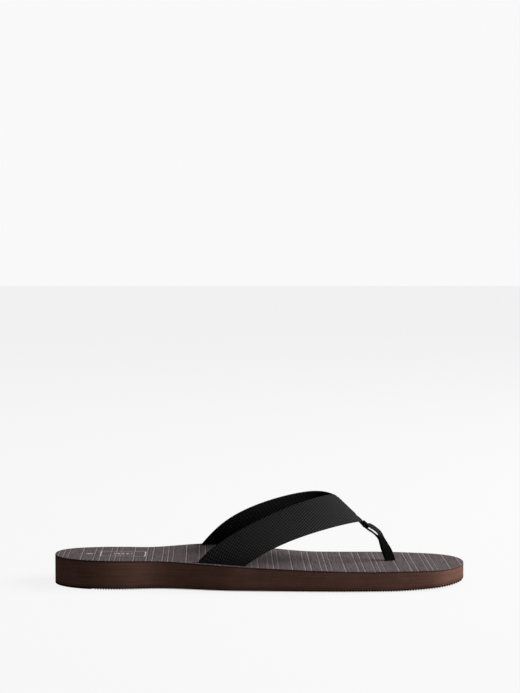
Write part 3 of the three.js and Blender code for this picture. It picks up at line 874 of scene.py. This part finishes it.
def tail_stations(strap):
    """The strap's end inside the sole: flat above the outsole, then folded and upright in its slot."""
    side = strap["side"]
    centre, heelward = slot_line(side)
    leaving = StrapCurve(strap).tangent(0)
    drift = leaving.dot(heelward)
    climb = math.sqrt(1 - drift * drift)
    half = slanted_half(heelward, leaving, WEB_WIDTH)
    upright = across_unit(UP, heelward)
    rise = heelward * drift + upright * climb
    depth = (centre.z - outsole_top(centre.x) - TAIL_GAP - WEB_THICKNESS / 2) / rise.z
    level = UP.cross(heelward).normalized()
    level = level if level.y * side > 0 else -level
    end = centre - rise * depth

    def station(point, facing, travel):
        return point, half, heelward.cross(facing).normalized() * -side, travel

    stations = []
    for distance in TAIL_REACHES:
        point = end - level * distance + heelward * (drift / climb * distance)
        stations.append(station(point, level, level))
    for i in range(1, TAIL_FOLD_STEPS):
        angle = math.pi / 2 * i / TAIL_FOLD_STEPS
        travel = (level * math.cos(angle) + upright * math.sin(angle)).normalized()
        raised = TAIL_FOLD * (1 - math.cos(angle)) * TAIL_FOLD_SQUASH
        point = end + upright * raised - level * (TAIL_FOLD * (1 - math.sin(angle)))
        stations.append(station(point, travel, travel))
    for share in TAIL_UPRIGHT_SHARES:
        point = centre - rise * (depth * (1 - share))
        stations.append(station(point, upright, rise))
    return stations


SELVEDGE_POWER = 14
BEAD_PLACE = 0.93
BEAD_SPREAD = 0.04


def selvedge_lift(v, bead):
    """Half-thickness of a band across its width: full, a small bead near each side, then round to nothing."""
    round_off = (1 - abs(v) ** SELVEDGE_POWER) ** 0.5 if abs(v) < 1 else 0.0
    return round_off * (1 + bead * math.exp(-((abs(v) - BEAD_PLACE) / BEAD_SPREAD) ** 2))


def band_mesh(name, stations, thickness, crown=0.0, bead=0.0, across_steps=16):
    """A band with rounded selvedges. Its UV is its own length and width in metres."""
    rings, uvs = [], []
    travelled = 0.0
    previous = stations[0][0]
    for centre, half, normal, tangent in stations:
        travelled += (centre - previous).length
        previous = centre
        width = (half - tangent * half.dot(tangent)).length
        ring = []
        for face in (1, -1):
            for k in range(across_steps + 1):
                v = -math.cos(math.pi * k / across_steps) * face
                lift = face * thickness / 2 * selvedge_lift(v, bead) + crown * (1 - v * v)
                ring.append(centre + half * v + normal * lift)
                uvs.append((travelled + v * half.dot(tangent), v * width))
        rings.append(ring)
    mesh = ring_mesh(name, rings, caps=True, uvs=uvs)
    tidy_mesh(mesh)
    shade_smooth(mesh, 50)
    return mesh


def cutter(name, stations, thickness, clearance, overrun=0.0):
    """A plain closed bar through the stations, used only to cut a slot."""
    rings = []
    for centre, half, normal, _ in stations:
        unit = half.normalized()
        middle = centre + unit * (overrun / 2)
        reach = unit * (half.length + clearance + overrun / 2)
        lift = normal * (thickness / 2 + clearance)
        near, far = middle - reach, middle + reach
        rings.append([near - lift, far - lift, far + lift, near + lift])
    mesh = ring_mesh(name, rings, caps=True)
    tidy_mesh(mesh)
    item = bpy.data.objects.new(name, mesh)
    bpy.context.collection.objects.link(item)
    return item


CUT_BELOW = 5 * MM
CUT_ABOVE = 6 * MM


def strap_cutter(strap):
    """The cutter of a strap's slot, from below the strap's fold to above the footbed."""
    tail = tail_stations(strap)
    first, last = tail[FIRST_UPRIGHT], tail[-1]
    rise = last[3]
    low = (first[0] - rise * CUT_BELOW, *first[1:])
    high = (last[0] + rise * CUT_ABOVE, *last[1:])
    return cutter("slot", [low, last, high], WEB_THICKNESS, SLOT_CLEARANCE, SLOT_OVERRUN)


STRAP_CROWN = 0.15 * MM
STRAP_BEAD = 0.12


def make_strap(name, strap, node, material):
    """One strap from the tail in the sole to the seam, with its half of the neck."""
    side = strap["side"]
    stations = tail_stations(strap) + arch_stations(strap)
    centre, half, normal, tangent = stations[-1]
    stations[-1] = (centre + Vector((0, side * SEAM_HALF_GAP, 0)), half, normal, tangent)
    mesh = band_mesh(name, stations, WEB_THICKNESS, STRAP_CROWN, STRAP_BEAD)
    neck = band_mesh(name + "_neck", neck_stations(side), NECK_THICKNESS, across_steps=8)
    join_meshes(mesh, neck)
    make_piece(name, mesh, [material], [node])


def neck_stations(side):
    """Half of the narrow neck running on from the seam's lower end, between the plies of the tape."""
    half = Vector((0, (NECK_HALF_WIDTH - SEAM_HALF_GAP) / 2, 0))
    sideways = Vector((0, side * (NECK_HALF_WIDTH + SEAM_HALF_GAP) / 2, 0))
    stations = []
    for i in range(0, NECK_LAST + 1, NECK_STRIDE):
        _, centre, tangent, _, normal = post_frame(i)
        stations.append((centre + sideways, half, normal, tangent))
    return stations


def join_meshes(mesh, other):
    bm = bmesh.new()
    bm.from_mesh(mesh)
    bm.from_mesh(other)
    bm.to_mesh(mesh)
    bm.free()
    bpy.data.meshes.remove(other)


# --- toe tape ---

BAR_RADIUS = 1.2 * MM
BAR_GAP = 0.3 * MM
PLY_GAP = 0.03 * MM
POST_STEPS = 96
NECK_LENGTH = 5.4 * MM
NECK_THICKNESS = 1.42 * MM
NECK_HALF_WIDTH = 3.7 * MM
NECK_ROOT = 3 * MM
NECK_LAST = 20
NECK_STRIDE = 2
PLY_BOW = 0.3 * MM
PLY_SEAT = 0.15 * MM
# Painted shade on the tape: the heights over which it darkens, and the shade at each end.
TAPE_PAINTED_SHADE = (29 * MM, 35 * MM, 0.25, 1.0)
UPPER_ROLL = 0.26
POST_TURN = 1.1
LOWER_PLY_FIRST = 5
UPPER_PLY_FIRST = 9
FOLD_DEPTH = 0.8 * MM
BEND_STEPS = 12
CURVE_STEPS = 600

# Spans of the post's length, as shares, over which the plies change.
PLY_SEATING = (0.08, 0.18)
PLY_BOWING = (0.16, 0.26)
PLY_CLOSING = (0.37, 0.50)
FOLD_OPENING = (0.9, 1.0)
POST_TURNING = (0.33, 0.73)
UPPER_ROLLING = (0.165, 0.235)
UPPER_UNROLLING = (0.42, 0.62)


def catmull(points, t):
    """A centripetal Catmull-Rom curve through the points, t from 0 to 1 by knot."""
    span = len(points) - 1
    i = min(int(t * span), span - 1)
    u = t * span - i
    p1, p2 = points[i], points[i + 1]
    p0 = points[i - 1] if i > 0 else p1 * 2 - p2
    p3 = points[i + 2] if i + 2 <= span else p2 * 2 - p1
    d1 = max((p1 - p0).length ** 0.5, 1e-5)
    d2 = max((p2 - p1).length ** 0.5, 1e-5)
    d3 = max((p3 - p2).length ** 0.5, 1e-5)
    m1 = ((p1 - p0) / d1 - (p2 - p0) / (d1 + d2) + (p2 - p1) / d2) * d2
    m2 = ((p2 - p1) / d2 - (p3 - p1) / (d2 + d3) + (p3 - p2) / d3) * d2
    a = p1 * 2 - p2 * 2 + m1 + m2
    b = p2 * 3 - p1 * 3 - m1 * 2 - m2
    return ((a * u + b) * u + m1) * u + p1


def seam_low():
    return SEAM - SEAM_SLOPE * (WEB_WIDTH / 2)


def post_points():
    """Knots of the line midway between the two plies, from the seam's lower end to the bar."""
    seam = seam_low()
    top = top_z(POST_X, POST_Y)
    low = outsole_top(POST_X) + BAR_RADIUS + BAR_GAP + TAPE_THICKNESS + FOLD_DEPTH
    reach = POST_X - seam.x

    def at(forward, down, y):
        return Vector((seam.x + forward * reach, y, seam.z - down * (seam.z - top)))

    return [
        seam + SEAM_SLOPE * NECK_ROOT,
        seam,
        seam + Vector((NECK_LENGTH * 0.35, 0, -NECK_LENGTH * 0.39)),
        seam + Vector((NECK_LENGTH * 0.8, 0, -NECK_LENGTH * 0.78)),
        at(0.41, 0.24, SEAM.y + 1 * MM),
        at(0.57, 0.34, SEAM.y + 1 * MM),
        at(0.68, 0.46, SEAM.y + 0.6 * MM),
        Vector((POST_X, POST_Y, top)),
        Vector((POST_X + 0.2 * MM, POST_Y - 0.1 * MM, low)),
    ]


def post_samples():
    """The post's middle line at even steps of length, with its tangents."""
    knots = post_points()
    fine = [catmull(knots, i / CURVE_STEPS) for i in range(CURVE_STEPS + 1)]
    lengths = [0.0]
    for a, b in zip(fine, fine[1:]):
        lengths.append(lengths[-1] + (b - a).length)
    samples = []
    j = 0
    for i in range(POST_STEPS + 1):
        wanted = lengths[-1] * i / POST_STEPS
        while j < CURVE_STEPS - 1 and lengths[j + 1] < wanted:
            j += 1
        share = (wanted - lengths[j]) / max(lengths[j + 1] - lengths[j], 1e-9)
        tangent = (fine[min(j + 3, CURVE_STEPS)] - fine[max(j - 2, 0)]).normalized()
        samples.append((fine[j].lerp(fine[j + 1], share), tangent))
    return samples


POST = post_samples()


def ply_spread(share, sign):
    """Distance of a ply from the middle line: round the straps, open at the slit, closed, round the bar."""
    holding = NECK_THICKNESS / 2 + PLY_GAP + TAPE_THICKNESS / 2
    closed = (PLY_GAP + TAPE_THICKNESS) / 2
    around = BAR_RADIUS + BAR_GAP + TAPE_THICKNESS / 2
    seated = PLY_SEAT * (1 - passed(share, PLY_SEATING)) if sign < 0 else 0.0
    bowed = holding + seated + PLY_BOW * passed(share, PLY_BOWING)
    above = mix(bowed, closed, passed(share, PLY_CLOSING))
    return mix(above, around, passed(share, FOLD_OPENING))


def post_frame(i):
    """Share, centre, tangent, across and normal at one sample of the post, which turns on its way down."""
    centre, tangent = POST[i]
    share = i / POST_STEPS
    turn = POST_TURN * passed(share, POST_TURNING)
    across = across_unit(Vector((math.sin(turn), math.cos(turn), 0)), tangent)
    return share, centre, tangent, across, tangent.cross(across)


def ply_station(i, sign):
    """One station of a ply. The upper one rolls at the slit, its outer edge dropping."""
    share, centre, tangent, across, normal = post_frame(i)
    rolled = passed(share, UPPER_ROLLING) * (1 - passed(share, UPPER_UNROLLING))
    roll = Quaternion(tangent, UPPER_ROLL * rolled if sign > 0 else 0.0)
    place = centre + normal * (sign * ply_spread(share, sign))
    return place, roll @ (across * (TAPE_WIDTH / 2)), roll @ (normal * sign), tangent * sign


def tape_stations():
    """Down the upper ply, round the bar and up the lower ply."""
    stations = [ply_station(i, 1) for i in range(UPPER_PLY_FIRST, POST_STEPS + 1)]
    _, centre, tangent, across, normal = post_frame(POST_STEPS)
    radius = BAR_RADIUS + BAR_GAP + TAPE_THICKNESS / 2
    for i in range(1, BEND_STEPS):
        angle = math.pi * i / BEND_STEPS
        outward = normal * math.cos(angle) + tangent * math.sin(angle)
        travel = tangent * math.cos(angle) - normal * math.sin(angle)
        stations.append((centre + outward * radius, across * (TAPE_WIDTH / 2), outward, travel))
    return stations + [ply_station(i, -1) for i in range(POST_STEPS, LOWER_PLY_FIRST - 1, -1)]


# Samples of the post that the cutter of its slot runs through.
POST_CUT_START = 67
POST_CUT_STRIDE = 4
POST_SLOT_EASE = 0.6 * MM


def post_cutter():
    """The cutter of the tape's slot, along the lower part of the post down to the bar."""
    stations = []
    for i in range(POST_CUT_START, POST_STEPS + 1, POST_CUT_STRIDE):
        _, centre, tangent, across, normal = post_frame(i)
        stations.append((centre, across * (TAPE_WIDTH / 2), normal, tangent))
    return cutter("post_slot", stations, 2 * TAPE_THICKNESS + POST_SLOT_EASE, SLOT_CLEARANCE)


# --- thread ---

def circle(centre, side, other, radius, count):
    angles = (2 * math.pi * k / count for k in range(count))
    return [centre + side * (radius * math.cos(a)) + other * (radius * math.sin(a)) for a in angles]


THREAD_STEPS = 6
THREAD_SIDES = 8
THREAD_LEAN = Vector((0.31, 0.2, 0.93))


def thread_mesh(name, points, radius):
    """A round thread through the points, corners rounded by the curve's own smoothing."""
    count = len(points) * THREAD_STEPS
    path = [catmull(points, i / count) for i in range(count + 1)]
    rings = []
    for i, point in enumerate(path):
        travel = (path[min(i + 1, len(path) - 1)] - path[max(i - 1, 0)]).normalized()
        side = across_unit(THREAD_LEAN, travel)
        rings.append(circle(point, side, travel.cross(side), radius, THREAD_SIDES))
    mesh = ring_mesh(name, rings, caps=True)
    tidy_mesh(mesh)
    shade_smooth(mesh, 60)
    return mesh


SEAM_STITCHES = 13
SEAM_STITCH_PITCH = 2.6 * MM
SEAM_STITCH_REACH = 1.2 * MM
SEAM_STITCH_MARGIN = 2 * MM
SEAM_THREAD_RADIUS = 0.2 * MM
SEAM_THREAD_LIFT = 0.03 * MM


def seam_thread(name, node, face, material):
    """Zigzag stitches across the seam, on the outer (+1) or the inner (-1) face of the straps."""
    normal = Vector((SEAM_SLOPE.z, 0, -SEAM_SLOPE.x)) * face
    lift = WEB_THICKNESS / 2 + SEAM_THREAD_LIFT
    points = []
    for i in range(SEAM_STITCHES + 1):
        side = 1 if i % 2 == 0 else -1
        distance = WEB_WIDTH / 2 - SEAM_STITCH_MARGIN - i * SEAM_STITCH_PITCH / 2
        place = SEAM + SEAM_SLOPE * distance + normal * lift
        points.append(place + Vector((0, side * SEAM_STITCH_REACH, 0)))
    make_piece(name, thread_mesh(name, points, SEAM_THREAD_RADIUS), [material], [node])


# The sample of the post where the tack is sewn, and its stitches.
TACK_STEP = 14
TACK_STITCHES = 9
TACK_STITCH_PITCH = 0.65 * MM
TACK_STITCH_REACH = 0.65 * MM
TACK_THREAD_RADIUS = 0.18 * MM
TACK_THREAD_LIFT = 0.05 * MM


def tack_thread(name, node, sign, material):
    """A bar tack across a ply, on the upper (+1) or the lower (-1) one."""
    share, centre, tangent, across, normal = post_frame(TACK_STEP)
    lift = ply_spread(share, sign) + TAPE_THICKNESS / 2 + TACK_THREAD_LIFT
    points = []
    for i in range(TACK_STITCHES + 1):
        side = 1 if i % 2 == 0 else -1
        offset = (i - TACK_STITCHES / 2) * TACK_STITCH_PITCH
        place = centre + normal * (sign * lift) + across * offset
        points.append(place + tangent * (side * TACK_STITCH_REACH))
    make_piece(name, thread_mesh(name, points, TACK_THREAD_RADIUS), [material], [node])


# The bar from end to end: each place as a share of its half length, and the share of its radius there.
BAR_PROFILE = ((-1, 0.7), (-0.96, 0.93), (-0.9, 1), (0.9, 1), (0.96, 0.93), (1, 0.7))
BAR_HALF_LENGTH = 7 * MM
BAR_SIDES = 20


def make_bar(material):
    _, centre, _, across, _ = post_frame(POST_STEPS)
    side = across_unit(UP, across)
    other = across.cross(side)
    rings = []
    for along, radius in BAR_PROFILE:
        place = centre + across * (BAR_HALF_LENGTH * along)
        rings.append(circle(place, side, other, BAR_RADIUS * radius, BAR_SIDES))
    mesh = ring_mesh("anchor_bar", rings, caps=True)
    tidy_mesh(mesh)
    shade_smooth(mesh)
    make_piece("anchor_bar", mesh, [material], ["toe_anchor_bar"])


def make_toe_tape(material):
    mesh = band_mesh("toe_tape_fold", tape_stations(), TAPE_THICKNESS, across_steps=12)
    make_piece("toe_tape_fold", mesh, [material], ["toe_tape"])


def build():
    webbing = webbing_material("webbing_twill", WEBBING_COLOUR, pitch=1.6 * MM, lean=0.44, contrast=1.0)
    tape = webbing_material("tape_rib", TAPE_COLOUR, pitch=0.9 * MM, lean=0.0, contrast=0.3, painted_shade=TAPE_PAINTED_SHADE)
    thread = plain_material("thread", THREAD_COLOUR, roughness=0.8, grain_scale=3000.0)
    plastic = plain_material("bar_plastic", PLASTIC_COLOUR, roughness=0.45, grain_scale=400.0)
    cutters = [strap_cutter(LATERAL), strap_cutter(MEDIAL), post_cutter()]
    make_sole(cutters)
    for item in cutters:
        bpy.data.objects.remove(item)
    make_strap("lateral_webbing", LATERAL, "lateral_strap", webbing)
    make_strap("medial_webbing", MEDIAL, "medial_strap", webbing)
    make_toe_tape(tape)
    make_bar(plastic)
    seam_thread("seam_stitch_top", "seam_top_thread", 1, thread)
    seam_thread("seam_stitch_under", "seam_under_thread", -1, thread)
    tack_thread("tape_stitch_top", "tape_tack_top", 1, thread)
    tack_thread("tape_stitch_under", "tape_tack_under", -1, thread)


make_camera()
make_studio()
make_stage()
build()
